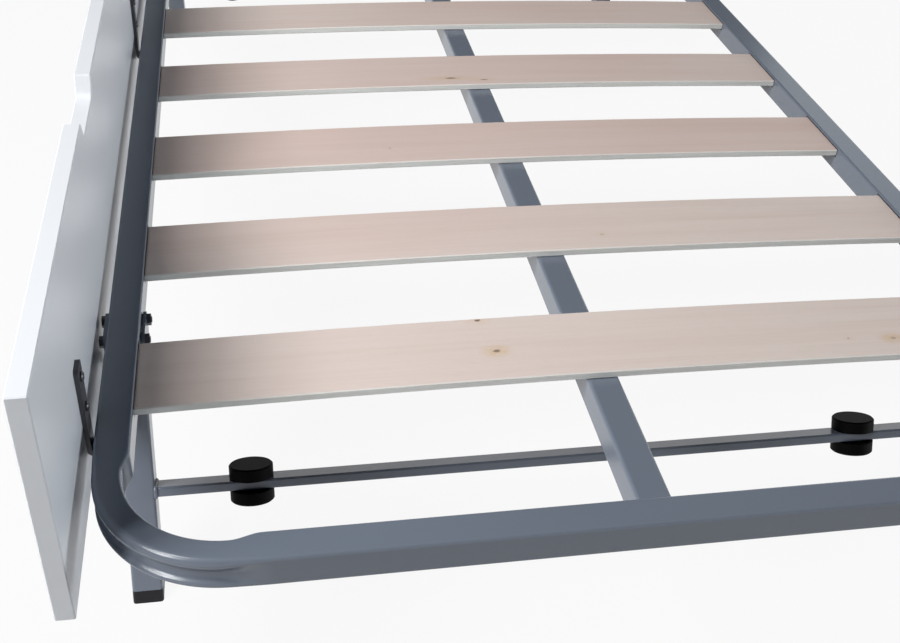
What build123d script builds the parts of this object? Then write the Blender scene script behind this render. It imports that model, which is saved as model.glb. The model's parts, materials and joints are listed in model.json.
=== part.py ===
from build123d import *
from math import asin, cos, degrees, radians, sin, sqrt
import os

# Trundle bed: a slatted steel frame on folding leg frames, with rollers on each leg frame's cross bar.
# Millimetres, +Z up, floor at Z = 0, raised on its legs. +Y runs along the bed, the panel is on its -X side.

# Frame
FRAME_LENGTH = 1900.0
FRAME_WIDTH = 900.0
RAIL_TOP = 270.0
TUBE = 30.0
TUBE_WALL = 1.5
TUBE_CORNER = 3.0
BEND_RADIUS = 94.0
BEND_PINCH = 5.5
BEND_CREASE = 3.0
PINCH_RUN = 25.0
PINCH_STEPS = 4
BOW_LEG = 16.0
BEAM_DROP = 5.0

# Slats
SLAT_COUNT = 8
SLAT_FROM_END = 233.5
SLAT_WIDTH = 93.0
SLAT_THICK = 8.0
SLAT_EDGE_CHAMFER = 1.0
SLAT_DROP = 3.0
SLAT_INSERT = 20.0
SLAT_BEAM_GAP = 0.3
CAP_WALL = 1.2
CAP_BACK = 2.0
CAP_CLEARANCE = 0.2

# Panel and its brackets
PANEL_HEIGHT = 223.0
PANEL_THICK = 16.0
PANEL_RISE = 161.0
PANEL_GAP = 10.0
PANEL_END_INSET = 12.5
PANEL_EDGE_CHAMFER = 1.0
GRIP_FROM_END = 455.0
GRIP_LENGTH = 106.0
GRIP_DEPTH = 19.5
GRIP_SLOPE = 10.0
GRIP_CORNER = 9.0
BRACKET_WIDTH = 20.0
BRACKET_THICK = 4.0
BRACKET_RISE = 58.0
BRACKET_FOOT = 34.0
BRACKET_BEND = 6.0
BRACKET_FROM_END = 175.0
BRACKET_MIDDLE = 1000.0
SCREW_HEIGHTS = (46.0, 14.0)
SCREW_RADIUS = 2.0
SCREW_HEAD_RADIUS = 4.5
SCREW_HEAD = 2.4
SCREW_BITE = 11.0
FOOT_BOLT_RADIUS = 3.0
FOOT_BOLT_LENGTH = 14.0
FOOT_BOLT_HEAD = 4.0
FOOT_BOLT_HEAD_ACROSS = 10.0

# Leg frames and hinges
LEG_LEAN = 24.0
PIVOT_FROM_END = 317.0
LEG_FOLD_GAP = 0.4
LEG_STOP_GAP = 0.3
LEG_SIDE_GAP = 1.0
CAP_HEIGHT = 12.0
PLUG_LENGTH = 22.0
PLUG_CLEARANCE = 0.2
PLATE_THICK = 3.0
PLATE_BOLT_SPREAD = 32.0
PLATE_BOLT_ROUND = 8.0
PLATE_PIVOT_ROUND = 11.0
BOLT_RADIUS = 3.0
BOLT_CLEARANCE = 0.25
BOLT_HEAD = 4.0
BOLT_HEAD_ACROSS = 10.0
BOLT_TAIL = 0.8
NUT_HEIGHT = 4.0
THREAD_CLEARANCE = 0.05
WASHER_RADIUS = 6.0
BUSH_RADIUS = 6.0
BUSH_CLEARANCE = 0.05
PIVOT_BUSH_PROUD = 0.5

# Cross bar and rollers
BAR_DISTANCE = 137.0
BAR_OFFSET = 2.5
BAR_DEPTH = 24.0
BAR_THICK = 10.0
BAR_WALL = 1.2
BAR_CORNER = 2.0
ROLLER_FROM_SIDE = 124.0
ROLLER_RADIUS = 22.0
ROLLER_THICK = 13.0
ROLLER_GAP = 1.0
ROLLER_RIM = 3.0
ROLLER_WEB = 3.5
ROLLER_CHAMFER = 1.4
ROLLER_HUB_RADIUS = 8.0
ROLLER_RIBS = 6
ROLLER_RIB = 2.0
ROLLER_RIB_DROP = 1.5
AXLE_RADIUS = 4.0
AXLE_SEAT_CLEARANCE = 0.02
AXLE_BUSH_PROUD = 0.4

# Derived places
HALF_TUBE = TUBE / 2
HINGE_STACK = LEG_SIDE_GAP + PLATE_THICK + BOLT_HEAD
PANEL_STACK = PANEL_GAP + PANEL_THICK
X_LEFT = (PANEL_STACK - FRAME_WIDTH - HINGE_STACK) / 2
X_RIGHT = X_LEFT + FRAME_WIDTH
X_MID = (X_LEFT + X_RIGHT) / 2
Y_NEAR = -FRAME_LENGTH / 2
RAIL_MID = RAIL_TOP - HALF_TUBE
RAIL_BOTTOM = RAIL_TOP - TUBE
BEND_OUTER = BEND_RADIUS + HALF_TUBE
BEND_LOBE = HALF_TUBE + BEND_CREASE - sqrt(2 * HALF_TUBE * BEND_CREASE)
PINCH_END = BEND_OUTER + PINCH_RUN
BOW_REACH = PINCH_END + BOW_LEG
INNER_WIDTH = FRAME_WIDTH - 2 * TUBE
SLAT_END_TOP = RAIL_TOP - SLAT_DROP
SLAT_MID_TOP = RAIL_TOP - BEAM_DROP + SLAT_BEAM_GAP + SLAT_THICK
SLAT_RISE = SLAT_MID_TOP - SLAT_END_TOP
SLAT_PITCH = (FRAME_LENGTH - 2 * SLAT_FROM_END) / (SLAT_COUNT - 1)
PIVOT_HEIGHT = RAIL_BOTTOM - HALF_TUBE - LEG_FOLD_GAP
SIDE_MIRROR = Plane.YZ.offset(X_MID)
END_MIRROR = Plane.XZ


def at_right(shape):
    """The same piece on the bed's right side."""
    return mirror(shape, about=SIDE_MIRROR)


def at_far(shape):
    """The same piece at the bed's far end."""
    return mirror(shape, about=END_MIRROR)


def save(name, *pieces):
    """Write one node, from one solid or a group of separate solids."""
    solids = [solid for piece in pieces for solid in piece.solids()]
    shape = solids[0] if len(solids) == 1 else Compound(solids)
    export_step(shape, f"parts/{name}.step")


def cylinder_x(radius, x_low, x_high, y, z):
    """A round bar along X."""
    plane = Plane((x_low, y, z), x_dir=(0, 1, 0), z_dir=(1, 0, 0))
    return extrude(plane * Circle(radius), amount=x_high - x_low)


def hexagon_x(across, x_low, x_high, y, z):
    """A hexagonal prism along X."""
    plane = Plane((x_low, y, z), x_dir=(0, 1, 0), z_dir=(1, 0, 0))
    return extrude(plane * RegularPolygon(across / 2, 6, major_radius=False), amount=x_high - x_low)


def tube_along(plane, width, height, wall, corner, length):
    """A hollow rectangular tube that starts on a plane and runs along its normal."""
    outer = RectangleRounded(width, height, corner)
    inner = RectangleRounded(width - 2 * wall, height - 2 * wall, corner - wall / 2)
    return extrude(plane * (outer - inner), amount=length)


def lobe_side(start, valley):
    """From a lobe's outermost point to the crease between the two lobes of a bend's outer wall."""
    if start[0] == valley[0]:
        return Line(start, valley)
    return TangentArc(start, valley, tangent=(0, -start[1]))


def tube_section(share):
    """The tube's outside on the way into a bend.

    At share 0 it is the square tube. At 1 its inner wall is drawn in, and its outer wall has two round lobes
    with a crease between them.
    """
    half = HALF_TUBE
    corner = TUBE_CORNER
    lobe = corner + share * (BEND_LOBE - corner)
    flat = half - lobe
    inner = half - share * BEND_PINCH
    inner_flat = inner - corner
    valley = (half - share * BEND_CREASE, 0)
    outline = [
        Line((-inner_flat, half), (flat, half)),
        CenterArc((flat, flat), lobe, 0, 90),
        lobe_side((half, flat), valley),
        lobe_side((half, -flat), valley),
        CenterArc((flat, -flat), lobe, -90, 90),
        Line((flat, -half), (-inner_flat, -half)),
        CenterArc((-inner_flat, corner - half), corner, 180, 90),
        Line((-inner, corner - half), (-inner, half - corner)),
        CenterArc((-inner_flat, half - corner), corner, 90, 90),
    ]
    return make_face(outline)


def straight_bore():
    """The hollow of a straight tube."""
    side = TUBE - 2 * TUBE_WALL
    return RectangleRounded(side, side, TUBE_CORNER - TUBE_WALL / 2)


def bend_bore():
    """The hollow of a bend, within its drawn-in wall and its crease."""
    outer = HALF_TUBE - BEND_CREASE - TUBE_WALL
    inner = HALF_TUBE - BEND_PINCH - TUBE_WALL
    middle = Pos((outer - inner) / 2, 0)
    return middle * RectangleRounded(outer + inner, TUBE - 2 * TUBE_WALL, BEND_LOBE - TUBE_WALL)


def across_leg(distance):
    """The plane across the near bow's left leg, this far along the bed from its end."""
    return Plane((X_LEFT + HALF_TUBE, Y_NEAR + distance, RAIL_MID), x_dir=(-1, 0, 0), z_dir=(0, -1, 0))


def across_end(distance):
    """The plane across the near bow's long run, this far from the bed's left side."""
    return Plane((X_LEFT + distance, Y_NEAR + HALF_TUBE, RAIL_MID), x_dir=(0, -1, 0), z_dir=(1, 0, 0))


def into_bend(across, sections):
    """The run from straight tube into a bend, through sections at even steps."""
    steps = len(sections) - 1
    places = [across(PINCH_END - PINCH_RUN * index / steps) for index in range(steps + 1)]
    return loft([place * section for place, section in zip(places, sections)], ruled=True)


def bow_body(straight, sections):
    """The near end's bent tube, filled, from its straight section and those on the way into a bend."""
    bend_axis = Axis((X_LEFT + BEND_OUTER, Y_NEAR + BEND_OUTER, RAIL_MID), (0, 0, 1))
    corner = [
        extrude(across_leg(BOW_REACH) * straight, amount=BOW_LEG),
        into_bend(across_leg, sections),
        revolve(across_leg(BEND_OUTER) * sections[-1], axis=bend_axis, revolution_arc=90),
        into_bend(across_end, sections),
    ]
    body = extrude(across_end(PINCH_END) * straight, amount=FRAME_WIDTH - 2 * PINCH_END)
    for piece in corner:
        body = body + piece + at_right(piece)
    return body


def bow():
    """The bent tube of the near end, hollow, with a short leg on each side."""
    steps = [index / PINCH_STEPS for index in range(PINCH_STEPS + 1)]
    outside = [tube_section(step * step * (3 - 2 * step)) for step in steps]
    return bow_body(outside[0], outside) - bow_body(straight_bore(), [bend_bore(), bend_bore()])


def slat_centres():
    """Each slat's middle along the bed."""
    return [Y_NEAR + SLAT_FROM_END + index * SLAT_PITCH for index in range(SLAT_COUNT)]


def slat_strip(y_centre, grow):
    """A sprung slat's bowed strip, grown on all sides but its ends by a clearance."""
    radius = ((INNER_WIDTH / 2) ** 2 + SLAT_RISE ** 2) / (2 * SLAT_RISE)
    reach = INNER_WIDTH / 2 + SLAT_INSERT
    centre = SLAT_MID_TOP - radius
    top = radius + grow
    bottom = radius - SLAT_THICK - grow

    def over(arc, side):
        return (X_MID + side * reach, centre + sqrt(arc ** 2 - reach ** 2))

    outline = [
        ThreePointArc(over(top, -1), (X_MID, centre + top), over(top, 1)),
        Line(over(top, 1), over(bottom, 1)),
        ThreePointArc(over(bottom, 1), (X_MID, centre + bottom), over(bottom, -1)),
        Line(over(bottom, -1), over(top, -1)),
    ]
    width = SLAT_WIDTH + 2 * grow
    plane = Plane((0, y_centre - width / 2, 0), x_dir=(1, 0, 0), z_dir=(0, -1, 0))
    return extrude(plane * make_face(outline), amount=-width)


def slat(y_centre):
    """One slat, with its long edges eased."""
    strip = slat_strip(y_centre, 0)
    long_edges = strip.edges().filter_by(GeomType.CIRCLE)
    return chamfer(long_edges, SLAT_EDGE_CHAMFER)


def cap_block(y_centre):
    """The outside of a slat's end cap in the left rail, also the slot that it fills."""
    sink = 2 * SLAT_RISE / (INNER_WIDTH / 2) * SLAT_INSERT
    top = SLAT_END_TOP + CAP_CLEARANCE + CAP_WALL
    bottom = SLAT_END_TOP - SLAT_THICK - sink - CAP_CLEARANCE - CAP_WALL
    depth = SLAT_INSERT + CAP_BACK
    width = SLAT_WIDTH + 2 * (CAP_CLEARANCE + CAP_WALL)
    place = Pos(X_LEFT + TUBE - depth / 2, y_centre, (top + bottom) / 2)
    return place * Box(depth, width, top - bottom)


def slat_cap(y_centre):
    """A nylon end cap: a sleeve round the slat's end, closed at the back."""
    return cap_block(y_centre) - slat_strip(y_centre, CAP_CLEARANCE)


def pivot_place():
    """The near leg frame's pivot as (y, z)."""
    return Y_NEAR + PIVOT_FROM_END, PIVOT_HEIGHT


def rail_bolt_places():
    """The two bolts that hold the near hinge plates to the rail, as (y, z)."""
    y_pivot, _ = pivot_place()
    return [(y_pivot + side * PLATE_BOLT_SPREAD / 2, RAIL_MID) for side in (-1, 1)]


def bolt_holes(x_low, x_high):
    """What the near rail bolts' holes take out of a piece between two X values."""
    radius = BOLT_RADIUS + BOLT_CLEARANCE
    return [cylinder_x(radius, x_low, x_high, y, z) for y, z in rail_bolt_places()]


def bracket_centres():
    """Each panel bracket's middle along the bed."""
    near = Y_NEAR + BRACKET_FROM_END
    return [near, Y_NEAR + BRACKET_MIDDLE, -near]


def bracket_bolt_x():
    """Where a bracket's foot is bolted under the left rail."""
    return X_LEFT + HALF_TUBE


def side_rail():
    """The left side rail, with the slats' slots in its inner wall and the hinge bolts' holes."""
    start = Plane((X_LEFT + HALF_TUBE, Y_NEAR + BOW_REACH, RAIL_MID), x_dir=(1, 0, 0), z_dir=(0, 1, 0))
    rail = tube_along(start, TUBE, TUBE, TUBE_WALL, TUBE_CORNER, FRAME_LENGTH - 2 * BOW_REACH)
    for y_centre in slat_centres():
        rail -= cap_block(y_centre)
    for hole in bolt_holes(X_LEFT, X_LEFT + TUBE):
        rail -= hole
        rail -= at_far(hole)
    return rail


def bracket_holes():
    """The holes for the panel brackets' bolts in the left rail's bottom wall."""
    radius = FOOT_BOLT_RADIUS + BOLT_CLEARANCE
    return [
        Pos(bracket_bolt_x(), y, RAIL_BOTTOM) * Cylinder(radius, 2 * TUBE_WALL + BRACKET_THICK)
        for y in bracket_centres()
    ]


def centre_beam():
    """The tube down the middle of the bed, between the two bows and a little lower."""
    start = Plane((X_MID, Y_NEAR + TUBE, RAIL_MID - BEAM_DROP), x_dir=(1, 0, 0), z_dir=(0, 1, 0))
    return tube_along(start, TUBE, TUBE, TUBE_WALL, TUBE_CORNER, FRAME_LENGTH - 2 * TUBE)


def grip_notch():
    """The hand grip's outline at the near end of the panel, in the panel's (y, z)."""
    middle = Y_NEAR + GRIP_FROM_END
    top = RAIL_TOP + PANEL_RISE
    half = GRIP_LENGTH / 2
    floor = top - GRIP_DEPTH
    corners = [
        (middle - half, top + GRIP_DEPTH),
        (middle - half, top),
        (middle - half + GRIP_SLOPE, floor),
        (middle + half - GRIP_SLOPE, floor),
        (middle + half, top),
        (middle + half, top + GRIP_DEPTH),
    ]
    outline = make_face(Polyline(*corners, close=True))
    low = outline.vertices().sort_by(Axis.Y)[:2]
    return fillet(low, GRIP_CORNER)


def front_panel():
    """The white panel along the bed's side, with a hand grip cut in its top edge near each end."""
    x_inner = X_LEFT - PANEL_GAP
    length = FRAME_LENGTH - 2 * PANEL_END_INSET
    middle = RAIL_TOP + PANEL_RISE - PANEL_HEIGHT / 2
    board = Pos(0, middle) * Rectangle(length, PANEL_HEIGHT)
    notch = grip_notch()
    board = board - notch - mirror(notch, about=Plane.YZ)
    plane = Plane((x_inner - PANEL_THICK, 0, 0), x_dir=(0, 1, 0), z_dir=(1, 0, 0))
    panel = extrude(plane * board, amount=PANEL_THICK)
    return chamfer(panel.edges(), PANEL_EDGE_CHAMFER)


def bracket_screw_places(y_centre):
    """The screws through a bracket's upright, as (y, z)."""
    return [(y_centre, RAIL_TOP + height) for height in SCREW_HEIGHTS]


def panel_bracket(y_centre):
    """A flat bar bent to an L: its upright is screwed to the panel, its foot bolted under the rail."""
    x_panel = X_LEFT - PANEL_GAP
    x_face = x_panel + BRACKET_THICK
    top = RAIL_TOP + BRACKET_RISE
    bottom = RAIL_BOTTOM - BRACKET_THICK
    outline = Polyline(
        (x_panel, bottom),
        (x_panel + BRACKET_FOOT, bottom),
        (x_panel + BRACKET_FOOT, RAIL_BOTTOM),
        (x_face, RAIL_BOTTOM),
        (x_face, top),
        (x_panel, top),
        close=True,
    )
    plane = Plane((0, y_centre - BRACKET_WIDTH / 2, 0), x_dir=(1, 0, 0), z_dir=(0, -1, 0))
    bar = extrude(plane * make_face(outline), amount=-BRACKET_WIDTH)
    outer_corner = bar.edges().filter_by(Axis.Y).sort_by_distance((x_panel, y_centre, bottom))[:1]
    bar = fillet(outer_corner, BRACKET_BEND)
    inner_corner = bar.edges().filter_by(Axis.Y).sort_by_distance((x_face, y_centre, RAIL_BOTTOM))[:1]
    bar = fillet(inner_corner, BRACKET_BEND - BRACKET_THICK)
    top_corners = bar.edges().filter_by(Axis.X).group_by(Axis.Z)[-1]
    bar = fillet(top_corners, BRACKET_THICK)
    for y, z in bracket_screw_places(y_centre):
        bar -= cylinder_x(SCREW_RADIUS + BOLT_CLEARANCE, x_panel, x_face, y, z)
    radius = FOOT_BOLT_RADIUS + BOLT_CLEARANCE
    return bar - Pos(bracket_bolt_x(), y_centre, bottom) * Cylinder(radius, 4 * BRACKET_THICK)


def panel_screw(y, z):
    """A screw through a bracket into the panel, with a low round head."""
    x_face = X_LEFT - PANEL_GAP + BRACKET_THICK
    shank = cylinder_x(SCREW_RADIUS, x_face - BRACKET_THICK - SCREW_BITE, x_face, y, z)
    head = cylinder_x(SCREW_HEAD_RADIUS, x_face, x_face + SCREW_HEAD, y, z)
    crown = head.edges().sort_by(Axis.X)[-1:]
    return shank + chamfer(crown, SCREW_HEAD / 2)


def panel_screw_holes():
    """The screws' holes in the panel, each a close fit on its shank."""
    x_inner = X_LEFT - PANEL_GAP
    radius = SCREW_RADIUS + THREAD_CLEARANCE
    places = [place for y_centre in bracket_centres() for place in bracket_screw_places(y_centre)]
    return [cylinder_x(radius, x_inner - SCREW_BITE, x_inner, y, z) for y, z in places]


def bracket_bolt(y_centre):
    """The bolt up through a bracket's foot into the rail."""
    seat = RAIL_BOTTOM - BRACKET_THICK
    place = Pos(bracket_bolt_x(), y_centre, seat)
    shank = extrude(place * Circle(FOOT_BOLT_RADIUS), amount=FOOT_BOLT_LENGTH)
    outline = RegularPolygon(FOOT_BOLT_HEAD_ACROSS / 2, 6, major_radius=False)
    return shank + extrude(place * outline, amount=-FOOT_BOLT_HEAD)


def plate_blank(x_low):
    """One hinge plate of the near left hinge: a rounded triangle with two rail bolts and the pivot."""
    plane = Plane((x_low, 0, 0), x_dir=(0, 1, 0), z_dir=(1, 0, 0))
    rounds = [(pivot_place(), PLATE_PIVOT_ROUND)]
    rounds += [(place, PLATE_BOLT_ROUND) for place in rail_bolt_places()]
    outline = make_hull([Pos(*place) * Circle(radius).edge() for place, radius in rounds])
    for place, _ in rounds:
        outline -= Pos(*place) * Circle(BOLT_RADIUS + BOLT_CLEARANCE)
    return extrude(plane * outline, amount=PLATE_THICK)


def outer_plate_x():
    """The outer hinge plate's outer face on the left side."""
    return X_LEFT - LEG_SIDE_GAP - PLATE_THICK


def inner_plate_x():
    """The inner hinge plate's face towards the leg on the left side."""
    return X_LEFT + TUBE + LEG_SIDE_GAP


def hinge_bolt(y, z):
    """A bolt through both plates of the near left hinge, its head on the outer plate."""
    x_head = outer_plate_x()
    tail = inner_plate_x() + PLATE_THICK + NUT_HEIGHT + BOLT_TAIL
    shank = cylinder_x(BOLT_RADIUS, x_head, tail, y, z)
    return shank + hexagon_x(BOLT_HEAD_ACROSS, x_head - BOLT_HEAD, x_head, y, z)


def hinge_nut(y, z):
    """The nut of such a bolt, on the inner plate."""
    seat = inner_plate_x() + PLATE_THICK
    body = hexagon_x(BOLT_HEAD_ACROSS, seat, seat + NUT_HEIGHT, y, z)
    return body - cylinder_x(BOLT_RADIUS + THREAD_CLEARANCE, seat, seat + NUT_HEIGHT, y, z)


def hinge_washers(y, z):
    """The two washers that space the plates off the rail at a rail bolt."""
    bore = BOLT_RADIUS + BOLT_CLEARANCE
    rings = []
    for x_low in (X_LEFT - LEG_SIDE_GAP, X_LEFT + TUBE):
        ring = cylinder_x(WASHER_RADIUS, x_low, x_low + LEG_SIDE_GAP, y, z)
        rings.append(ring - cylinder_x(bore, x_low, x_low + LEG_SIDE_GAP, y, z))
    return rings


def leg_frame_place(shape):
    """Lean a piece that was made about the pivot, with its leg straight down, and put it at the pivot."""
    y_pivot, z_pivot = pivot_place()
    return Pos(0, y_pivot, z_pivot) * Rot(X=-LEG_LEAN) * shape


def leg_outline():
    """The leg's side view about its pivot: a front top corner that stops on the rail, and a round back."""
    lean = radians(LEG_LEAN)
    rise = HALF_TUBE + LEG_FOLD_GAP - LEG_STOP_GAP
    top = (rise - HALF_TUBE * sin(lean)) / cos(lean)
    back = sqrt(HALF_TUBE ** 2 - top ** 2)
    low = -2 * PIVOT_HEIGHT
    outline = [
        Line((HALF_TUBE, 0), (HALF_TUBE, low)),
        Line((HALF_TUBE, low), (-HALF_TUBE, low)),
        Line((-HALF_TUBE, low), (-HALF_TUBE, top)),
        Line((-HALF_TUBE, top), (back, top)),
        CenterArc((0, 0), HALF_TUBE, 0, degrees(asin(top / HALF_TUBE))),
    ]
    return make_face(outline)


def above_floor(z_low, z_high):
    """A slab of the space round the near left leg between two heights."""
    reach = 4 * PIVOT_HEIGHT
    y_pivot, _ = pivot_place()
    return Pos(X_LEFT + HALF_TUBE, y_pivot, (z_low + z_high) / 2) * Box(reach, reach, z_high - z_low)


def leg_column(side, corner):
    """A square column down the near left leg's axis, from above the pivot to below the floor."""
    column = extrude(RectangleRounded(side, side, corner), amount=-2 * PIVOT_HEIGHT)
    column += extrude(RectangleRounded(side, side, corner), amount=TUBE)
    return Pos(X_LEFT + HALF_TUBE, 0, 0) * column


def leg():
    """The near left leg's tube, with its bush hole, cut level above the foot cap."""
    plane = Plane((X_LEFT, 0, 0), x_dir=(0, 1, 0), z_dir=(1, 0, 0))
    side_view = extrude(plane * leg_outline(), amount=TUBE)
    bore = TUBE - 2 * TUBE_WALL
    tube = leg_column(TUBE, TUBE_CORNER) - leg_column(bore, TUBE_CORNER - TUBE_WALL / 2)
    tube = (tube & side_view) - cylinder_x(BUSH_RADIUS, X_LEFT, X_LEFT + TUBE, 0, 0)
    return leg_frame_place(tube) & above_floor(CAP_HEIGHT, 2 * RAIL_TOP)


def foot_cap():
    """The near left leg's foot cap: a level foot under the tube and a plug up inside it."""
    side = TUBE - 2 * TUBE_WALL - 2 * PLUG_CLEARANCE
    foot = leg_frame_place(leg_column(TUBE, TUBE_CORNER)) & above_floor(0, CAP_HEIGHT)
    plug = leg_frame_place(leg_column(side, TUBE_CORNER - TUBE_WALL / 2))
    return foot + (plug & above_floor(CAP_HEIGHT, CAP_HEIGHT + PLUG_LENGTH))


def pivot_bush():
    """The near left leg's bush on the pivot bolt."""
    low = X_LEFT - PIVOT_BUSH_PROUD
    high = X_LEFT + TUBE + PIVOT_BUSH_PROUD
    sleeve = cylinder_x(BUSH_RADIUS, low, high, 0, 0)
    return leg_frame_place(sleeve - cylinder_x(BOLT_RADIUS + BUSH_CLEARANCE, low, high, 0, 0))


def roller_sides():
    """The X of the near leg frame's rollers, left then right."""
    return {"left": X_LEFT + ROLLER_FROM_SIDE, "right": X_RIGHT - ROLLER_FROM_SIDE}


def roller_place(x, shape):
    """Put a piece made about a roller's centre, with its axle along Z, on the near cross bar."""
    return leg_frame_place(Pos(x, -BAR_OFFSET, -BAR_DISTANCE) * shape)


def cross_bar():
    """The near leg frame's cross bar between the legs, with a hole at each roller."""
    start = Plane((X_LEFT + TUBE, -BAR_OFFSET, -BAR_DISTANCE), x_dir=(0, 1, 0), z_dir=(1, 0, 0))
    bar = tube_along(start, BAR_DEPTH, BAR_THICK, BAR_WALL, BAR_CORNER, INNER_WIDTH)
    bar = leg_frame_place(bar)
    for x in roller_sides().values():
        bar -= roller_place(x, Cylinder(BUSH_RADIUS, 2 * BAR_THICK))
    return bar


def axle_bush(x):
    """A nylon bush through the near cross bar, round a roller's axle."""
    height = BAR_THICK + 2 * AXLE_BUSH_PROUD
    bush = Cylinder(BUSH_RADIUS, height) - Cylinder(AXLE_RADIUS + BUSH_CLEARANCE, height)
    return roller_place(x, bush)


def roller():
    """The upper roller about its centre: a cup with a closed outer face, a hub and ribs."""
    low = BAR_THICK / 2 + ROLLER_GAP
    high = low + ROLLER_THICK
    web = high - ROLLER_WEB
    bore = AXLE_RADIUS + AXLE_SEAT_CLEARANCE
    rim = ROLLER_RADIUS - ROLLER_RIM
    outline = Polyline(
        (0, high),
        (ROLLER_RADIUS - ROLLER_CHAMFER, high),
        (ROLLER_RADIUS, high - ROLLER_CHAMFER),
        (ROLLER_RADIUS, low),
        (rim, low),
        (rim, web),
        (ROLLER_HUB_RADIUS, web),
        (ROLLER_HUB_RADIUS, low),
        (bore, low),
        (bore, web),
        (0, web),
        close=True,
    )
    cup = revolve(Plane.XZ * make_face(outline), axis=Axis.Z)
    rib_low = low + ROLLER_RIB_DROP
    rib_length = rim - ROLLER_HUB_RADIUS + ROLLER_RIM
    rib = Box(rib_length, ROLLER_RIB, web - rib_low + ROLLER_WEB / 2)
    rib_middle = (rim + ROLLER_HUB_RADIUS) / 2
    for index in range(ROLLER_RIBS):
        turn = Rot(Z=index * 360 / ROLLER_RIBS)
        cup += turn * Pos(rib_middle, 0, (rib_low + web + ROLLER_WEB / 2) / 2) * rib
    return cup


def axle():
    """A roller pair's axle about its centre, ending in the two hubs."""
    return Cylinder(AXLE_RADIUS, BAR_THICK + 2 * (ROLLER_GAP + ROLLER_THICK - ROLLER_WEB))


def make_frame():
    near_bow = bow()
    save("near_end_bow", near_bow)
    save("far_end_bow", at_far(near_bow))
    rail = side_rail()
    left_rail = rail
    for hole in bracket_holes():
        left_rail -= hole
    save("left_side_rail", left_rail)
    save("right_side_rail", at_right(rail))
    save("centre_beam", centre_beam())


def make_slats():
    caps = []
    for number, y_centre in enumerate(slat_centres(), start=1):
        save(f"slat_{number}", slat(y_centre))
        cap = slat_cap(y_centre)
        caps += [cap, at_right(cap)]
    save("slat_end_caps", *caps)


def make_panel():
    panel = front_panel()
    for hole in panel_screw_holes():
        panel -= hole
    save("front_panel", panel)
    screws = []
    bolts = []
    for number, y_centre in enumerate(bracket_centres(), start=1):
        save(f"panel_bracket_{number}", panel_bracket(y_centre))
        screws += [panel_screw(y, z) for y, z in bracket_screw_places(y_centre)]
        bolts.append(bracket_bolt(y_centre))
    save("panel_screws", *screws)
    save("bracket_bolts", *bolts)


def at_corners(shape):
    """A near left piece at all four corners of the bed, with each corner's name."""
    right = at_right(shape)
    return {"near_left": shape, "near_right": right, "far_left": at_far(shape), "far_right": at_far(right)}


def make_hinges():
    for side, x_low in (("outer", outer_plate_x()), ("inner", inner_plate_x())):
        for corner, plate in at_corners(plate_blank(x_low)).items():
            save(f"{corner}_{side}_hinge_plate", plate)
    y_pivot, z_pivot = pivot_place()
    places = rail_bolt_places()
    washers = [ring for y, z in places for ring in hinge_washers(y, z)]
    rail_bolts = [hinge_bolt(y, z) for y, z in places]
    nuts = [hinge_nut(y, z) for y, z in places + [(y_pivot, z_pivot)]]
    pivots = [hinge_bolt(y_pivot, z_pivot)]
    groups = {"hinge_washers": washers, "rail_bolts": rail_bolts, "pivot_bolts": pivots, "hinge_nuts": nuts}
    for name, pieces in groups.items():
        save(name, *[copy for piece in pieces for copy in at_corners(piece).values()])


def make_leg_frames():
    for corner, piece in at_corners(leg()).items():
        save(f"{corner}_leg", piece)
    for corner, piece in at_corners(foot_cap()).items():
        save(f"{corner}_foot_cap", piece)
    bush = pivot_bush()
    bushes = [bush, at_right(bush)]
    axle_bushes = [axle_bush(x) for x in roller_sides().values()]
    bar = cross_bar()
    save("near_cross_bar", bar)
    save("far_cross_bar", at_far(bar))
    save("near_pivot_bushes", *bushes)
    save("far_pivot_bushes", *[at_far(piece) for piece in bushes])
    save("near_axle_bushes", *axle_bushes)
    save("far_axle_bushes", *[at_far(piece) for piece in axle_bushes])


def make_rollers():
    upper = roller()
    pieces = {"upper_roller": upper, "lower_roller": mirror(upper, about=Plane.XY), "axle": axle()}
    for side, x in roller_sides().items():
        for name, piece in pieces.items():
            placed = roller_place(x, piece)
            save(f"near_{side}_{name}", placed)
            save(f"far_{side}_{name}", at_far(placed))


os.makedirs("parts", exist_ok=True)
make_frame()
make_slats()
make_panel()
make_hinges()
make_leg_frames()
make_rollers()
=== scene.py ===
import json
import math

import bmesh
import bpy
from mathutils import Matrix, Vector

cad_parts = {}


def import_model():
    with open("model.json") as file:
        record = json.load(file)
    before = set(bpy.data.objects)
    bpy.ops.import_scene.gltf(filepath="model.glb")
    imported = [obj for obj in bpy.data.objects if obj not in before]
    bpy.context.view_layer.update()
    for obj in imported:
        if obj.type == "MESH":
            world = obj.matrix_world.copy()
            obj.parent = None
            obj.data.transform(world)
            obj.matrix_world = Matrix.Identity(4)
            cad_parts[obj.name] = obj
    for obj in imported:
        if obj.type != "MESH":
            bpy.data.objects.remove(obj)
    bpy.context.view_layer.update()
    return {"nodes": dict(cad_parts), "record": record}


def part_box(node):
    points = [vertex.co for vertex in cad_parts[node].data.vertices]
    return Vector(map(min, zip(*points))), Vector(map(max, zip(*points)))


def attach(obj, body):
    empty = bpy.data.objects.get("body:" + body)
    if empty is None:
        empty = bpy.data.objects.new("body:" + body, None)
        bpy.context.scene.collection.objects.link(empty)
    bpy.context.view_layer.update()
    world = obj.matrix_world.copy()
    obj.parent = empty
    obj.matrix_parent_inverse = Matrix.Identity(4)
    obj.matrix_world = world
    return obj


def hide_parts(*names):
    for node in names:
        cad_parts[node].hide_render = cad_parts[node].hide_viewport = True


# Looks of a trundle bed: painted steel tube, sprung wooden slats, a white board and black rollers.
# Metres, +Z up. +Y runs along the bed, and the white panel is on its -X side.

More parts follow.
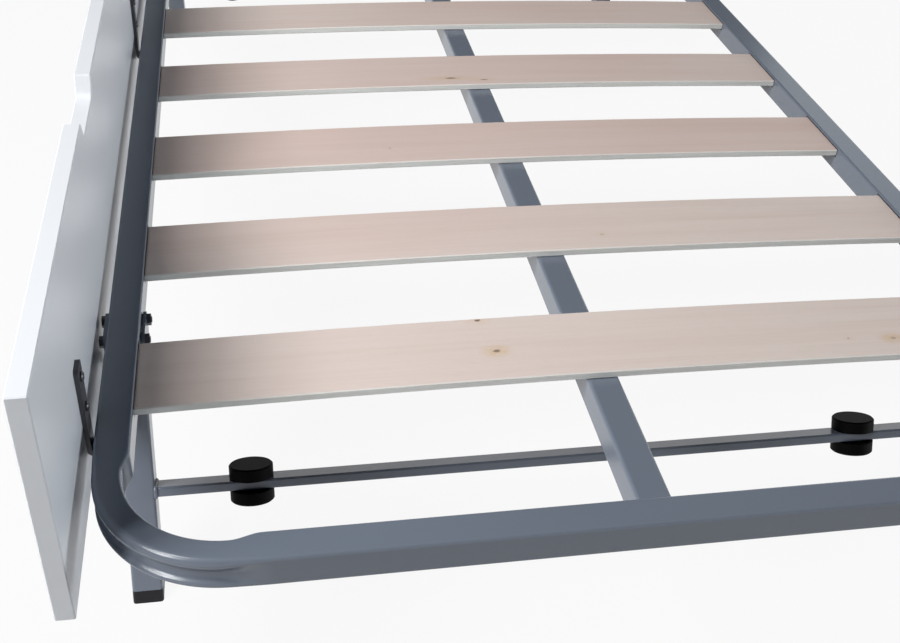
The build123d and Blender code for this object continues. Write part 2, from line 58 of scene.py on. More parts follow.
# The photograph's camera
CAMERA_PLACE = (-0.2988, -1.5420, 0.9262)
CAMERA_TURN = (0.93541, -0.050509, -0.165780)
IMAGE_WIDTH = 900
FOCAL_PIXELS = 1147.93
SENSOR_WIDTH = 36.0

# Studio: four lamps, a world that goes by the height above the horizon, and a floor
KEY_PLACE = (-2.29, -1.04, 3.00)
KEY_AIM = (-0.1, -0.45, 0.25)
KEY_SIZE = (1.06, 2.0)
KEY_POWER = 113.0
KEY_TINT = (1.0, 1.0, 1.0)
LOW_PLACE = (-1.75, -1.79, 1.67)
LOW_AIM = (-0.38, -0.93, 0.25)
LOW_SIZE = (0.40, 0.80)
LOW_POWER = 24.0
LOW_TINT = (1.0, 1.0, 1.0)
SIDE_PLACE = (5.72, -0.94, 0.56)
SIDE_AIM = (-0.4, -0.4, 0.32)
SIDE_SIZE = (1.44, 0.9)
SIDE_POWER = 160.0
SIDE_TINT = (0.88, 0.94, 1.0)
BACK_PLACE = (2.4, 2.2, 1.5)
BACK_AIM = (-0.1, -0.25, 0.25)
BACK_SIZE = (1.5, 1.5)
BACK_POWER = 9.0
BACK_TINT = (0.90, 0.96, 1.0)
HORIZON_LIGHT = 0.05
CEILING_LIGHT = 0.02
HORIZON_TOP = 0.05
CEILING_START = 0.35
BACKDROP_TOP = 0.08
BACKDROP_END = 0.34
BACKDROP_WHITE = (1.0, 1.0, 1.0)
SKY_TINT = (0.92, 0.97, 1.08)
FLOOR_SIZE = 60.0
FLOOR_WHITE = 0.52
FLOOR_ROUGHNESS = 0.8
FLOOR_GLOW = 0.92

# Colours, linear
PAINT_GREY = (0.150, 0.175, 0.219)
PAINT_LIGHT = (0.157, 0.183, 0.228)
BOARD_WHITE = (0.785, 0.807, 0.842)
PLASTIC_BLACK = (0.012, 0.0115, 0.014)
PLASTIC_DUST = (0.032, 0.031, 0.033)
ROLLER_BLACK = (0.0022, 0.0020, 0.0023)
ROLLER_DUST = (0.009, 0.0085, 0.0085)
NYLON_BLACK = (0.014, 0.014, 0.016)
STEEL_BLACK = (0.054, 0.052, 0.063)
STEEL_WORN = (0.085, 0.082, 0.090)
AXLE_BRIGHT = (0.55, 0.55, 0.56)
WOOD_CREAM = (0.765, 0.672, 0.622)
WOOD_PINK = (0.690, 0.530, 0.475)
WOOD_EDGE = (0.865, 0.880, 0.845)
WOOD_PORE = (0.480, 0.335, 0.260)
WOOD_KNOT = (0.620, 0.400, 0.140)
WOOD_EYE = (0.150, 0.095, 0.060)

# Sockets of the node that mixes colours
MIX_SHARE = 0
MIX_FIRST = 6
MIX_SECOND = 7
MIX_RESULT = 2

# The whole range of a share
WHOLE = (0.0, 1.0)

# Paint: a soft cloudiness and a faint orange peel
PAINT_CLOUD_SCALE = 3.0
PAINT_CLOUD_RANGE = (0.3, 0.7)
PAINT_ROUGH_RANGE = (0.25, 0.75)
PAINT_ROUGHNESS = (0.22, 0.25)
PAINT_SPECULAR = 0.52
PEEL_SCALE = 520.0
PEEL_HEIGHT = 0.000006

# White board
BOARD_CLOUD_SCALE = 5.0
BOARD_CLOUD_RANGE = (0.3, 0.7)
BOARD_DULL = 0.975
BOARD_ROUGHNESS = (0.36, 0.38)
BOARD_SPECULAR = 0.35
BOARD_GRAIN_SCALE = 700.0
BOARD_GRAIN_HEIGHT = 0.00003

# Plastic: scuffs and a sparked texture
SCUFF_SCALE = 140.0
SCUFF_RANGE = (0.56, 0.76)
SCUFF_SHARE = 0.5
SCUFF_ROUGHER = 0.12
SPARK_SCALE = 1600.0
SPARK_HEIGHT = 0.00004

# Steel: rubbed spots and fine marks
RUB_SCALE = 95.0
RUB_RANGE = (0.58, 0.74)
RUB_SHARE = 0.6
RUB_ROUGHER = 0.1
MARK_SQUEEZE = (900.0, 900.0, 120.0)
MARK_HEIGHT = 0.00003

# Veneer: how each noise is squeezed on x, y and z, the range of it that shows, and its share of the colour
SLAT_SHIFT = (3.7, 1.9)
WANDER_SQUEEZE = (1.6, 3.0, 1.0)
WANDER_RANGE = (0.32, 0.68)
PINK_SPREAD = 0.22
GRAIN_SQUEEZE = (2.2, 46.0, 10.0)
GRAIN_RANGE = (0.35, 0.72)
GRAIN_SHARE = 0.13
STREAK_SQUEEZE = (5.0, 210.0, 40.0)
STREAK_RANGE = (0.45, 0.75)
STREAK_SHARE = 0.08
PORE_SQUEEZE = (75.0, 1500.0, 300.0)
PORE_RANGE = (0.60, 0.72)
PORE_SHARE = 0.12
PORE_RELIEF = -0.5
PLY_SQUEEZE = (9.0, 9.0, 620.0)
PLY_RANGE = (0.4, 0.65)
PLY_SHARE = 0.14
EDGE_RANGE = (0.55, 0.85)
WOOD_ROUGH_RANGE = (0.3, 0.7)
WOOD_ROUGHNESS = (0.46, 0.60)
WOOD_RELIEF = 0.00012

# Knots and cracks: how their outline wanders, and where halo and eye fade, in sizes of the knot
WARP_SCALE = 160.0
WARP_RANGE = (0.2, 0.8)
WARP = (-0.2, 0.2)
HALO_FADE = (0.4, 2.4)
HALO_BREAK_RANGE = (0.35, 0.6)
HALO_BREAK = (0.45, 1.0)
EYE_FADE = (0.15, 0.5)

# Edges that stay sharp, and the steps round an outline's corner
SHARP_ANGLE = math.radians(35.0)
CORNER_STEPS = 6

# Welds: a bead of small ripples in the corner where one tube butts on another
BEAD_RADIUS = 0.0019
BEAD_SINK = 0.0004
BEAD_STEP = 0.0005
BEAD_RIPPLE = 0.0026
BEAD_SWELL = 0.16
BEAD_SIDES = 12
BEAD_START = 0.55
BEAD_GROWTH = 0.15
TUBE_CORNER = 0.003
BAR_CORNER = 0.002
BAR_DEPTH = 0.024
BAR_THICK = 0.010
LEG_LEAN = math.radians(24.0)

# Bows: how the tube's walls give in its corner bends
BEND_RADIUS = 0.094
BEND_PINCH = 0.0055
BEND_HOLLOW = 0.0056
TOP_RIDGE = 0.0060
LOW_RIDGE = 0.0030
RIDGE_INSET = 0.0010
PINCH_RUN = 0.025
HOLLOW_START = -0.016
HOLLOW_RUN = 0.050
BEND_STEPS = 44
RUN_STEPS = 16
ARC_STEPS = 10
WALL_STEPS = 14
FLAT_SUPPORT = 0.0005
LEAST_HOLLOW = 0.00002

# Slats, from the near end: how pink each veneer is, from 0 to 1
SLAT_PINK = (0.05, 0.35, 0.62, 0.55, 0.45, 0.30, 0.60, 0.40)

# Knots and cracks, by slat: x, y from the slat's middle, size, slenderness, halo and eye
SLAT_MARKS = {
    1: (
        (-0.084, -0.006, 0.0052, 0.60, 0.55, 0.75),
        (-0.0925, 0.0430, 0.0050, 0.60, 0.20, 0.90),
        (0.309, -0.021, 0.0050, 0.60, 0.50, 0.45),
        (0.263, -0.0186, 0.0026, 0.70, 0.15, 0.60),
    ),
    2: ((0.071, -0.020, 0.0030, 0.60, 0.20, 0.45),),
    3: ((-0.134, -0.012, 0.0026, 0.80, 0.10, 0.65),),
    4: ((-0.028, -0.026, 0.0042, 0.17, 0.30, 0.90), (0.017, -0.033, 0.0030, 0.22, 0.20, 0.80)),
}


def add(tree, kind, inputs=None, **settings):
    """A new node, with its settings and its inputs given as values or as other nodes' outputs."""
    made = tree.nodes.new(kind)
    for name, value in settings.items():
        setattr(made, name, value)
    for name, value in (inputs or {}).items():
        if isinstance(value, bpy.types.NodeSocket):
            tree.links.new(value, made.inputs[name])
        else:
            made.inputs[name].default_value = value
    return made


def material(name):
    """An empty material, as (material, node tree, principled shader)."""
    made = bpy.data.materials.new(name)
    made.use_nodes = True
    return made, made.node_tree, made.node_tree.nodes["Principled BSDF"]


def object_place(tree):
    """The point's place in the bed's own frame."""
    return add(tree, "ShaderNodeTexCoord").outputs["Object"]


def stretched(tree, vector, factors, shift=(0.0, 0.0, 0.0)):
    """A place scaled on each axis and shifted."""
    inputs = {"Vector": vector, "Scale": factors, "Location": shift}
    return add(tree, "ShaderNodeMapping", inputs).outputs["Vector"]


def noise(tree, vector, scale, detail=3.0, rough=0.55, distortion=0.0):
    """A noise from 0 to 1."""
    inputs = {"Vector": vector, "Scale": scale, "Detail": detail}
    inputs.update({"Roughness": rough, "Distortion": distortion})
    return add(tree, "ShaderNodeTexNoise", inputs).outputs["Fac"]


def between(tree, value, span, result=WHOLE):
    """A value's smooth step from one range to another."""
    inputs = {"Value": value, "From Min": span[0], "From Max": span[1]}
    inputs.update({"To Min": result[0], "To Max": result[1]})
    return add(tree, "ShaderNodeMapRange", inputs, interpolation_type="SMOOTHSTEP").outputs["Result"]


def math_node(tree, operation, first, second=0.0):
    """One sum on values."""
    return add(tree, "ShaderNodeMath", {0: first, 1: second}, operation=operation).outputs["Value"]


def mixed(tree, share, first, second):
    """Two colours mixed by a node's output. A colour is an RGB tuple or another node's output."""
    colours = [
        value if isinstance(value, bpy.types.NodeSocket) else (*value, 1.0) for value in (first, second)
    ]
    inputs = {MIX_SHARE: share, MIX_FIRST: colours[0], MIX_SECOND: colours[1]}
    return add(tree, "ShaderNodeMix", inputs, data_type="RGBA").outputs[MIX_RESULT]


def bumped(tree, shader, height, distance):
    """Give a shader a bump of a real height in metres."""
    inputs = {"Height": height, "Distance": distance, "Strength": 1.0}
    tree.links.new(add(tree, "ShaderNodeBump", inputs).outputs["Normal"], shader.inputs["Normal"])


def facing(tree, axis):
    """How squarely the surface faces along an axis of the bed, from 0 to 1."""
    normal = add(tree, "ShaderNodeTexCoord").outputs["Normal"]
    split = add(tree, "ShaderNodeSeparateXYZ", {"Vector": normal})
    return math_node(tree, "ABSOLUTE", split.outputs[axis])


def grey_paint():
    """Semi-gloss powder coat: a faint orange peel and a soft cloudiness."""
    made, tree, shader = material("grey_paint")
    place = object_place(tree)
    cloud = noise(tree, place, PAINT_CLOUD_SCALE, detail=2.0)
    base = mixed(tree, between(tree, cloud, PAINT_CLOUD_RANGE), PAINT_GREY, PAINT_LIGHT)
    tree.links.new(base, shader.inputs["Base Color"])
    roughness = between(tree, cloud, PAINT_ROUGH_RANGE, PAINT_ROUGHNESS)
    tree.links.new(roughness, shader.inputs["Roughness"])
    shader.inputs["Specular IOR Level"].default_value = PAINT_SPECULAR
    bumped(tree, shader, noise(tree, place, PEEL_SCALE, detail=2.0), PEEL_HEIGHT)
    return made


def slat_wood(number, pink, knots):
    """Rotary-cut veneer along the slat, with fine pores, pale edges and a knot where one shows."""
    made, tree, shader = material(f"slat_wood_{number}")
    place = object_place(tree)
    shift = (SLAT_SHIFT[0] * number, SLAT_SHIFT[1] * number, 0.0)

    def layer(squeeze, **settings):
        return noise(tree, stretched(tree, place, squeeze, shift), 1.0, **settings)

    wander = layer(WANDER_SQUEEZE, detail=2.0)
    grain = layer(GRAIN_SQUEEZE, detail=7.0, rough=0.62, distortion=0.35)
    streak = layer(STREAK_SQUEEZE, detail=4.0, rough=0.6)
    pores = between(tree, layer(PORE_SQUEEZE, detail=2.0), PORE_RANGE)
    pinkness = (max(0.0, pink - PINK_SPREAD), min(1.0, pink + PINK_SPREAD))
    face = mixed(tree, between(tree, wander, WANDER_RANGE, pinkness), WOOD_CREAM, WOOD_PINK)
    face = mixed(tree, between(tree, grain, GRAIN_RANGE, (0.0, GRAIN_SHARE)), face, WOOD_PORE)
    face = mixed(tree, between(tree, streak, STREAK_RANGE, (0.0, STREAK_SHARE)), face, WOOD_PORE)
    face = mixed(tree, math_node(tree, "MULTIPLY", pores, PORE_SHARE), face, WOOD_PORE)
    for centre, *mark in knots:
        halo, eye = knot(tree, place, centre, *mark)
        face = mixed(tree, halo, face, WOOD_KNOT)
        face = mixed(tree, eye, face, WOOD_EYE)
    ply = between(tree, layer(PLY_SQUEEZE, detail=2.0), PLY_RANGE, (0.0, PLY_SHARE))
    edge = between(tree, facing(tree, "Y"), EDGE_RANGE)
    base = mixed(tree, edge, face, mixed(tree, ply, WOOD_EDGE, WOOD_PORE))
    tree.links.new(base, shader.inputs["Base Color"])
    roughness = between(tree, grain, WOOD_ROUGH_RANGE, WOOD_ROUGHNESS)
    tree.links.new(roughness, shader.inputs["Roughness"])
    height = math_node(tree, "ADD", streak, math_node(tree, "MULTIPLY", pores, PORE_RELIEF))
    bumped(tree, shader, height, WOOD_RELIEF)
    return made


def knot(tree, place, centre, size, slender, halo_share, eye_share):
    """The pale brown halo and the dark eye of a knot or crack, drawn out along the grain, as shares."""
    along = slender / size
    factors = (along, 1.0 / size, 0.0)
    about = stretched(tree, place, factors, (-along * centre[0], -centre[1] / size, 0.0))
    warp = noise(tree, place, WARP_SCALE, detail=3.0)
    distance = add(tree, "ShaderNodeVectorMath", {0: about}, operation="LENGTH").outputs["Value"]
    distance = math_node(tree, "ADD", distance, between(tree, warp, WARP_RANGE, WARP))
    halo = between(tree, distance, HALO_FADE, (halo_share, 0.0))
    halo = math_node(tree, "MULTIPLY", halo, between(tree, warp, HALO_BREAK_RANGE, HALO_BREAK))
    eye = between(tree, distance, EYE_FADE, (eye_share, 0.0))
    return halo, eye


def white_board():
    """White laminated board: satin, with a faint cloudiness and a very fine texture."""
    made, tree, shader = material("white_board")
    place = object_place(tree)
    shade = between(tree, noise(tree, place, BOARD_CLOUD_SCALE, detail=3.0), BOARD_CLOUD_RANGE)
    base = mixed(tree, shade, BOARD_WHITE, tuple(BOARD_DULL * part for part in BOARD_WHITE))
    tree.links.new(base, shader.inputs["Base Color"])
    tree.links.new(between(tree, shade, WHOLE, BOARD_ROUGHNESS), shader.inputs["Roughness"])
    shader.inputs["Specular IOR Level"].default_value = BOARD_SPECULAR
    bumped(tree, shader, noise(tree, place, BOARD_GRAIN_SCALE, detail=2.0), BOARD_GRAIN_HEIGHT)
    return made


def moulded(name, base, worn, rough, specular):
    """Moulded plastic: a fine sparked texture, with lighter scuffs."""
    made, tree, shader = material(name)
    place = object_place(tree)
    scuff = between(tree, noise(tree, place, SCUFF_SCALE, detail=6.0, rough=0.75), SCUFF_RANGE)
    colour = mixed(tree, math_node(tree, "MULTIPLY", scuff, SCUFF_SHARE), base, worn)
    tree.links.new(colour, shader.inputs["Base Color"])
    roughness = between(tree, scuff, WHOLE, (rough, rough + SCUFF_ROUGHER))
    tree.links.new(roughness, shader.inputs["Roughness"])
    shader.inputs["Specular IOR Level"].default_value = specular
    bumped(tree, shader, noise(tree, place, SPARK_SCALE, detail=2.0), SPARK_HEIGHT)
    return made


def coated_steel(name, base, worn, metallic, rough):
    """Coated or ground steel: fine lengthwise marks and rubbed spots."""
    made, tree, shader = material(name)
    place = object_place(tree)
    rubbed = between(tree, noise(tree, place, RUB_SCALE, detail=6.0, rough=0.7), RUB_RANGE)
    colour = mixed(tree, math_node(tree, "MULTIPLY", rubbed, RUB_SHARE), base, worn)
    tree.links.new(colour, shader.inputs["Base Color"])
    roughness = between(tree, rubbed, WHOLE, (rough, rough + RUB_ROUGHER))
    tree.links.new(roughness, shader.inputs["Roughness"])
    shader.inputs["Metallic"].default_value = metallic
    marks = noise(tree, stretched(tree, place, MARK_SQUEEZE), 1.0, detail=2.0)
    bumped(tree, shader, marks, MARK_HEIGHT)
    return made


def smooth(piece):
    """Shade a mesh smooth, with its sharp edges kept."""
    piece.data.shade_smooth()
    piece.data.set_sharp_from_angle(angle=SHARP_ANGLE)


def shared_finishes():
    """The materials of all slots but the slats', and the rollers' own."""
    plastic = moulded("black_plastic", PLASTIC_BLACK, PLASTIC_DUST, rough=0.42, specular=0.3)
    roller = moulded("roller_plastic", ROLLER_BLACK, ROLLER_DUST, rough=0.55, specular=0.045)
    nylon = moulded("nylon", NYLON_BLACK, PLASTIC_DUST, rough=0.45, specular=0.3)
    black = coated_steel("black_steel", STEEL_BLACK, STEEL_WORN, metallic=0.0, rough=0.34)
    bright = coated_steel("bright_steel", AXLE_BRIGHT, AXLE_BRIGHT, metallic=1.0, rough=0.28)
    return {
        "grey_paint": grey_paint(),
        "white_board": white_board(),
        "black_plastic": plastic,
        "roller": roller,
        "nylon": nylon,
        "black_steel": black,
        "bright_steel": bright,
    }


def finish_nodes(nodes, slots, finishes):
    """Give every CAD node its material, by its slot in the record."""
    for name, piece in nodes.items():
        slot = slots[name]
        if slot == "slat_wood":
            number = int(name.rsplit("_", 1)[1])
            finish = slat_wood(number, SLAT_PINK[number - 1], slat_knots(number))
        elif name.endswith("_roller"):
            finish = finishes["roller"]
        else:
            finish = finishes[slot]
        piece.data.materials.clear()
        piece.data.materials.append(finish)


def slat_knots(number):
    """The knots that show on a slat: the (x, y) of each, with its size, slenderness, halo and eye."""
    low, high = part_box(f"slat_{number}")
    middle = (low.y + high.y) / 2
    return [((x, middle + y), *mark) for x, y, *mark in SLAT_MARKS.get(number, ())]


def rounded_outline(half_width, half_height, corner, grow):
    """Points round a rectangle with round corners, from the middle of its bottom side, as (across, up)."""
    wide = half_width - corner
    tall = half_height - corner
    reach = corner + grow
    points = [(0.0, -half_height - grow)]
    corners = ((wide, -tall), (wide, tall), (-wide, tall), (-wide, -tall))
    for turn, (across, up) in enumerate(corners):
        for step in range(CORNER_STEPS + 1):
            angle = math.radians(90.0 * (turn - 1 + step / CORNER_STEPS))
            points.append((across + reach * math.cos(angle), up + reach * math.sin(angle)))
    return points + [points[0]]


def evenly(points, step):
    """Points at an even step along a line of points, with its two ends."""
    spans = [(end - start).length for start, end in zip(points, points[1:])]
    count = max(2, round(sum(spans) / step))
    even = []
    index = 0
    passed = 0.0
    for number in range(count + 1):
        wanted = sum(spans) * number / count
        while index < len(spans) - 1 and passed + spans[index] < wanted:
            passed += spans[index]
            index += 1
        share = (wanted - passed) / spans[index]
        even.append(points[index].lerp(points[index + 1], min(1.0, share)))
    return even


def painted_piece(name, mesh, body, finish):
    """A closed mesh made into a painted piece that rides on a body."""
    bmesh.ops.recalc_face_normals(mesh, faces=mesh.faces)
    data = bpy.data.meshes.new(name)
    mesh.to_mesh(data)
    mesh.free()
    data.shade_smooth()
    data.materials.append(finish)
    piece = bpy.data.objects.new(name, data)
    bpy.context.scene.collection.objects.link(piece)
    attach(piece, body)
    return piece


def weld_bead(name, points, facing_out, body, finish):
    """A ripple-topped bead along points that all lie in one flat face, whose normal is facing_out."""
    line = evenly(points, BEAD_STEP)
    closed = (line[0] - line[-1]).length < BEAD_STEP / 10
    count = len(line) - 1 if closed else len(line)
    mesh = bmesh.new()
    rings = []
    for index in range(count):
        before = line[(index - 1) % count] if closed else line[max(0, index - 1)]
        after = line[(index + 1) % count] if closed else line[min(count - 1, index + 1)]
        side = (after - before).normalized().cross(facing_out)
        ripple = index * BEAD_STEP / BEAD_RIPPLE % 1.0
        radius = BEAD_RADIUS * (1.0 - BEAD_SWELL * ripple * ripple)
        if not closed:
            radius *= min(1.0, BEAD_START + BEAD_GROWTH * min(index, count - 1 - index))
        ring = []
        for number in range(BEAD_SIDES):
            angle = 2 * math.pi * number / BEAD_SIDES
            about = math.cos(angle) * side + math.sin(angle) * facing_out
            ring.append(mesh.verts.new(line[index] + radius * about))
        rings.append(ring)
    pairs = list(zip(rings, rings[1:] + rings[:1])) if closed else list(zip(rings, rings[1:]))
    for first, second in pairs:
        for number in range(BEAD_SIDES):
            beside = (number + 1) % BEAD_SIDES
            mesh.faces.new((first[number], first[beside], second[beside], second[number]))
    if not closed:
        mesh.faces.new(rings[0])
        mesh.faces.new(rings[-1])
    painted_piece(name, mesh, body, finish)


def smooth_step(value):
    """A smooth rise from 0 to 1."""
    value = min(1.0, max(0.0, value))
    return value * value * (3.0 - 2.0 * value)


def arc_points(centre, radius, start, end, steps):
    """Points along an arc, from one angle to another in radians."""
    turns = [start + (end - start) * step / steps for step in range(steps + 1)]
    return [(centre[0] + radius * math.cos(turn), centre[1] + radius * math.sin(turn)) for turn in turns]


def bow_section(half, pinch, hollow):
    """The tube's outline as (outward, up), its inner wall pinched and its outer wall hollow by a share.

    The hollow wall is one arc between a wide top ridge and a narrow low ridge, tangent to both.
    """
    quarter = math.pi / 2
    top = TUBE_CORNER + hollow * (TOP_RIDGE - TUBE_CORNER)
    low = TUBE_CORNER + hollow * (LOW_RIDGE - TUBE_CORNER)
    outermost = half - hollow * RIDGE_INSET
    depth = max(hollow * BEND_HOLLOW, LEAST_HOLLOW)
    between_ridges = 2 * half - top - low
    fall = between_ridges / 2 + depth * (top - low) / between_ridges
    rise = between_ridges - fall
    span = (fall * fall + depth * depth) / (2 * depth) - top
    top_turn = math.atan2(fall, span + top - depth)
    low_turn = math.atan2(rise, span + low - depth)
    centre = (outermost - depth + span, half - top - fall)
    wall = arc_points(centre, span, math.pi - top_turn, math.pi + low_turn, WALL_STEPS)
    inner = half - pinch * BEND_PINCH - TUBE_CORNER
    inner_wall = -inner - TUBE_CORNER
    side = half - TUBE_CORNER
    points = [(FLAT_SUPPORT - inner, half), (outermost - top - FLAT_SUPPORT, half)]
    points += arc_points((outermost - top, half - top), top, quarter, -top_turn, ARC_STEPS)
    points += wall[1:-1]
    points += arc_points((outermost - low, low - half), low, low_turn, -quarter, ARC_STEPS)
    points += [(outermost - low - FLAT_SUPPORT, -half), (FLAT_SUPPORT - inner, -half)]
    points += arc_points((-inner, -side), TUBE_CORNER, -quarter, -2 * quarter, ARC_STEPS)
    points += [(inner_wall, FLAT_SUPPORT - side), (inner_wall, side - FLAT_SUPPORT)]
    points += arc_points((-inner, side), TUBE_CORNER, 2 * quarter, quarter, ARC_STEPS)
    return points


def bow_stations(reach, width, half):
    """Places along a bow from the end of its left leg to its middle.

    Each is (x, y, outward x, outward y, pinch, hollow) about the bow's left outer corner, with y from the
    bed's end inwards.
    """
    outer = BEND_RADIUS + half
    steps = range(-RUN_STEPS // 2, RUN_STEPS)
    runs = [reach - outer] + [PINCH_RUN * (RUN_STEPS - step) / RUN_STEPS for step in steps]
    runs = sorted(set(run for run in runs if run <= reach - outer), reverse=True)
    stations = []

    def shares(beyond):
        pinch = smooth_step(1.0 - beyond / PINCH_RUN)
        hollow = smooth_step(1.0 - (beyond - HOLLOW_START) / HOLLOW_RUN)
        return pinch, hollow

    for run in runs:
        stations.append((half, outer + run, -1.0, 0.0, *shares(run)))
    for step in range(BEND_STEPS + 1):
        share = step / BEND_STEPS
        angle = share * math.pi / 2
        nearest = min(share, 1.0 - share) * BEND_RADIUS * math.pi / 2
        x = outer - BEND_RADIUS * math.cos(angle)
        y = outer - BEND_RADIUS * math.sin(angle)
        stations.append((x, y, -math.cos(angle), -math.sin(angle), *shares(-nearest)))
    for run in reversed(runs):
        stations.append((outer + run, half, 0.0, -1.0, *shares(run)))
    stations.append((width / 2, half, 0.0, -1.0, 0.0, 0.0))
    return stations


def bow_skin(end, inward, finish):
    """A bow's bent tube with the hollow outer wall that its bends have in the photograph."""
    low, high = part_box(f"{end}_end_bow")
    half = (high.z - low.z) / 2
    width = high.x - low.x
    left = bow_stations(high.y - low.y, width, half)
    right = [(width - x, y, -out_x, *rest) for x, y, out_x, *rest in reversed(left[:-1])]
    edge = low.y if inward > 0 else high.y
    mesh = bmesh.new()
    rings = []
    for x, y, out_x, out_y, pinch, hollow in left + right:
        middle = Vector((low.x + x, edge + inward * y, low.z + half))
        outward = Vector((out_x, inward * out_y, 0.0))
        ring = []
        for across, up in bow_section(half, pinch, hollow):
            ring.append(mesh.verts.new(middle + across * outward + Vector((0.0, 0.0, up))))
        rings.append(ring)
    for first, second in zip(rings, rings[1:]):
        for number in range(len(first)):
            beside = (number + 1) % len(first)
            mesh.faces.new((first[number], first[beside], second[beside], second[number]))
    mesh.faces.new(rings[0])
    mesh.faces.new(rings[-1])
    skin = painted_piece(f"{end}_bow_tube", mesh, "frame", finish)
    smooth(skin)
    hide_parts(f"{end}_end_bow")


def beam_welds(finish):
    """The bead over the beam's top and sides where each of its ends butts on a bow."""
    low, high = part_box("centre_beam")
    bow_low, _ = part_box("near_end_bow")
    middle = (low + high) / 2
    half = (high - low) / 2
    outline = rounded_outline(half.x, half.z, TUBE_CORNER, BEAD_SINK)
    lowest = bow_low.z + TUBE_CORNER - middle.z
    outline = [(across, up) for across, up in outline[1:-1] if up > 0.0]
    outline = [(half.x + BEAD_SINK, lowest), *outline, (-half.x - BEAD_SINK, lowest)]
    for end, y, inward in (("near", low.y, 1.0), ("far", high.y, -1.0)):
        line_y = y + inward * BEAD_SINK
        points = [Vector((middle.x + across, line_y, middle.z + up)) for across, up in outline]
        weld_bead(f"{end}_beam_weld", points, Vector((0.0, inward, 0.0)), "frame", finish)


def bar_welds(finish):
    """The bead round each end of a cross bar where it butts on a leg."""
    for end, lean in (("near", LEG_LEAN), ("far", -LEG_LEAN)):
        low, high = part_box(f"{end}_cross_bar")
        middle = (low + high) / 2
        along = Vector((0.0, math.cos(lean), -math.sin(lean)))
        up = Vector((0.0, math.sin(lean), math.cos(lean)))
        outline = rounded_outline(BAR_DEPTH / 2, BAR_THICK / 2, BAR_CORNER, BEAD_SINK)
        for side, x, inward in (("left", low.x, 1.0), ("right", high.x, -1.0)):
            start = Vector((x + inward * BEAD_SINK, middle.y, middle.z))
            points = [start + across * along + rise * up for across, rise in outline]
            name = f"{end}_{side}_bar_weld"
            weld_bead(name, points, Vector((inward, 0.0, 0.0)), f"{end}_leg_frame", finish)


def lamp(name, place, aim, size, power, tint):
    """A soft light, of a width and a height, that looks at a point."""
    light = bpy.data.lights.new(name, "AREA")
    light.shape = "RECTANGLE"
    light.size, light.size_y = size
    light.energy = power
    light.color = tint
    holder = bpy.data.objects.new(name, light)
    bpy.context.scene.collection.objects.link(holder)
    holder.location = place
    holder.rotation_euler = (Vector(aim) - Vector(place)).to_track_quat("-Z", "Y").to_euler()
    holder.visible_camera = False


def seen_directly(tree):
    """1 on the rays that show a surface: the camera's, and those that gloss and glass send on."""
    path = add(tree, "ShaderNodeLightPath")
    seen = math_node(tree, "MAXIMUM", path.outputs["Is Camera Ray"], path.outputs["Is Glossy Ray"])
    return math_node(tree, "MAXIMUM", seen, path.outputs["Is Transmission Ray"])


def studio_world():
    """Pale round the horizon, dimmer overhead, with a white backdrop above the floor where it is seen."""
    world = bpy.data.worlds.new("studio")
    world.use_nodes = True
    tree = world.node_tree
    direction = add(tree, "ShaderNodeTexCoord").outputs["Generated"]
    height = add(tree, "ShaderNodeSeparateXYZ", {"Vector": direction}).outputs["Z"]
    level = between(tree, height, (HORIZON_TOP, CEILING_START), (HORIZON_LIGHT, CEILING_LIGHT))
    backdrop = between(tree, height, (BACKDROP_TOP, BACKDROP_END), (FLOOR_GLOW, 0.0))
    seen = seen_directly(tree)
    level = math_node(tree, "MAXIMUM", level, math_node(tree, "MULTIPLY", backdrop, seen))
    background = tree.nodes["Background"]
    tree.links.new(mixed(tree, seen, SKY_TINT, BACKDROP_WHITE), background.inputs["Color"])
    tree.links.new(level, background.inputs["Strength"])
    bpy.context.scene.world = world


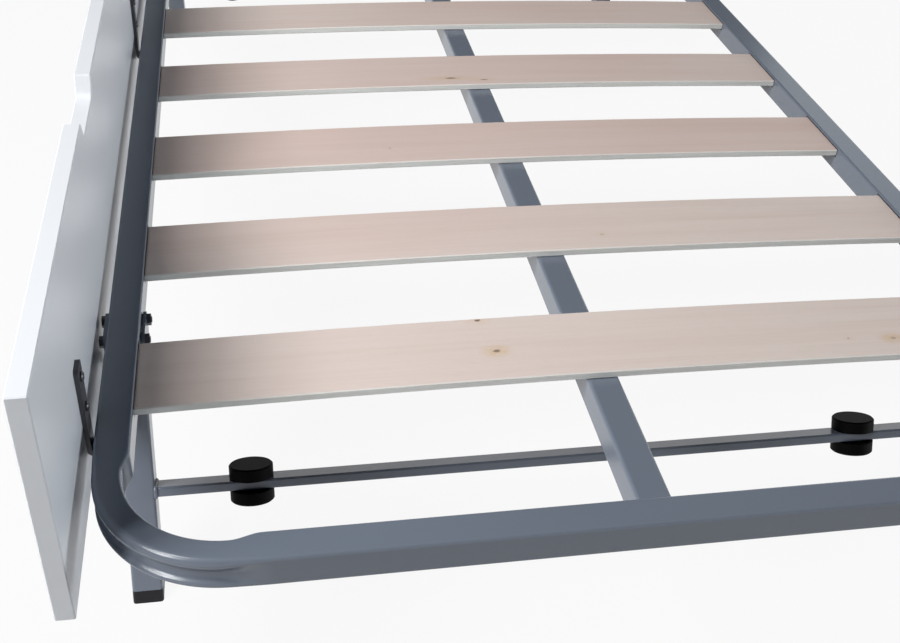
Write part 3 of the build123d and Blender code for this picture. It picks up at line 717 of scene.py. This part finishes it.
def studio_floor():
    """A plain white floor, lifted to white on the rays that show it, with the bed's soft shadow."""
    mesh = bpy.data.meshes.new("floor")
    half = FLOOR_SIZE / 2
    corners = [(-half, -half, 0.0), (half, -half, 0.0), (half, half, 0.0), (-half, half, 0.0)]
    mesh.from_pydata(corners, [], [(0, 1, 2, 3)])
    floor = bpy.data.objects.new("floor", mesh)
    bpy.context.scene.collection.objects.link(floor)
    made, tree, shader = material("floor")
    shader.inputs["Base Color"].default_value = (FLOOR_WHITE, FLOOR_WHITE, FLOOR_WHITE, 1.0)
    shader.inputs["Roughness"].default_value = FLOOR_ROUGHNESS
    shader.inputs["Specular IOR Level"].default_value = 0.0
    glow = add(tree, "ShaderNodeEmission")
    share = math_node(tree, "MULTIPLY", seen_directly(tree), FLOOR_GLOW)
    inputs = {0: share, 1: shader.outputs["BSDF"], 2: glow.outputs["Emission"]}
    blend = add(tree, "ShaderNodeMixShader", inputs)
    tree.links.new(blend.outputs["Shader"], tree.nodes["Material Output"].inputs["Surface"])
    floor.data.materials.append(made)


def photo_camera():
    """The camera where the photograph was taken from."""
    data = bpy.data.cameras.new("camera")
    data.sensor_width = SENSOR_WIDTH
    data.lens = FOCAL_PIXELS * SENSOR_WIDTH / IMAGE_WIDTH
    holder = bpy.data.objects.new("camera", data)
    bpy.context.scene.collection.objects.link(holder)
    holder.location = CAMERA_PLACE
    holder.rotation_euler = CAMERA_TURN
    bpy.context.scene.camera = holder


def main():
    """Give the bed its looks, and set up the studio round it."""
    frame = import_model()
    scene = bpy.context.scene
    scene.view_settings.view_transform = "Standard"
    slots = {part["node"]: part["material_slot"] for part in frame["record"]["subparts"]}
    for piece in frame["nodes"].values():
        smooth(piece)
    finishes = shared_finishes()
    finish_nodes(frame["nodes"], slots, finishes)
    bow_skin("near", 1.0, finishes["grey_paint"])
    bow_skin("far", -1.0, finishes["grey_paint"])
    beam_welds(finishes["grey_paint"])
    bar_welds(finishes["grey_paint"])
    studio_world()
    studio_floor()
    lamp("key", KEY_PLACE, KEY_AIM, KEY_SIZE, KEY_POWER, KEY_TINT)
    lamp("low", LOW_PLACE, LOW_AIM, LOW_SIZE, LOW_POWER, LOW_TINT)
    lamp("side", SIDE_PLACE, SIDE_AIM, SIDE_SIZE, SIDE_POWER, SIDE_TINT)
    lamp("back", BACK_PLACE, BACK_AIM, BACK_SIZE, BACK_POWER, BACK_TINT)
    photo_camera()


main()
